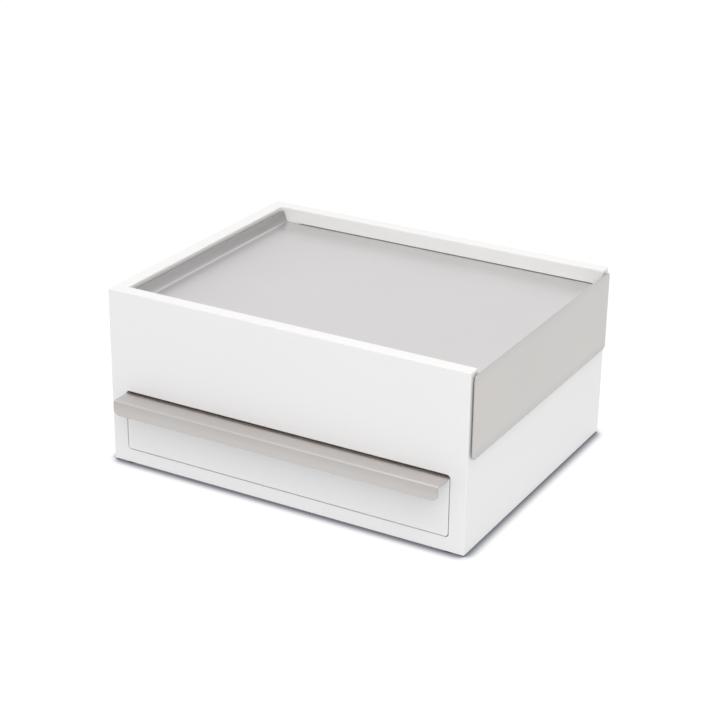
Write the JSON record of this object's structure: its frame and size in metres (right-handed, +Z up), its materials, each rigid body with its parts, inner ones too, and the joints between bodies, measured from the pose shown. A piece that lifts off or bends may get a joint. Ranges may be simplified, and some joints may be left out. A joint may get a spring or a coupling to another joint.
{
  "type": "stackable drawer box",
  "caption": "Rectangular lacquered box with a drawer under a lined compartment, a sheet-metal lid that slides sideways in grooves, and a bent sheet handle across the drawer.",
  "frame": {"origin": "under the middle of the whole box, handle and pull plate included, on the surface that it stands on", "axes": "+Z up; -Y is the front, where the drawer opens; +X is the right end, towards which the lid slides"},
  "size_m": [0.2622, 0.22, 0.122],
  "materials": {
    "white_lacquer": "fibreboard with satin white lacquer",
    "raw_fibreboard": "bare fibreboard",
    "satin_nickel": "steel sheet, satin nickel plated",
    "linen": "grey linen glued to thin board",
    "ring_foam": "grey linen over foam",
    "beech": "bare beech",
    "zinc_steel": "zinc-plated steel",
    "wool_felt": "grey felt",
    "slip_plastic": "smooth slip tape",
    "foam_rubber": "soft matt rubber"
  },
  "bodies": {
    "case": {"front_board": "white_lacquer", "back_board": "white_lacquer", "left_board": "white_lacquer", "right_board": "white_lacquer", "base_board": "white_lacquer", "shelf": "raw_fibreboard", "case_dowels": "beech", "foot_pads": "foam_rubber", "runner_strips": "slip_plastic", "guide_strips": "slip_plastic", "drawer_bumpers": "wool_felt", "drawer_stop_block": "beech", "drawer_stop_screw": "zinc_steel", "lid_felt_strips": "wool_felt", "lid_stop_pins": "zinc_steel", "floor_lining": "linen", "front_lining": "linen", "back_lining": "linen", "left_lining": "linen", "right_lining": "linen", "ring_divider": "linen", "long_divider": "linen", "cross_divider": "linen", "ring_roll_1": "ring_foam", "ring_roll_2": "ring_foam", "ring_roll_3": "ring_foam", "ring_roll_4": "ring_foam"},
    "lid": {"lid_tray": "satin_nickel", "lid_pull_plate": "satin_nickel", "lid_buffers": "foam_rubber"},
    "drawer": {"drawer_front": "white_lacquer", "drawer_left_side": "white_lacquer", "drawer_right_side": "white_lacquer", "drawer_back": "white_lacquer", "drawer_bottom": "raw_fibreboard", "drawer_pins": "zinc_steel", "drawer_handle": "satin_nickel", "handle_screws": "zinc_steel", "drawer_floor_lining": "linen", "drawer_front_lining": "linen", "drawer_back_lining": "linen", "drawer_left_lining": "linen", "drawer_right_lining": "linen", "drawer_divider": "linen"}
  },
  "joints": [
    {"name": "lid_slide", "type": "slide", "parent": "case", "child": "lid", "axis": [1, 0, 0], "range_m": [0, 0.15]},
    {"name": "drawer_slide", "type": "slide", "parent": "case", "child": "drawer", "axis": [0, -1, 0], "range_m": [0, 0.14]}
  ]
}
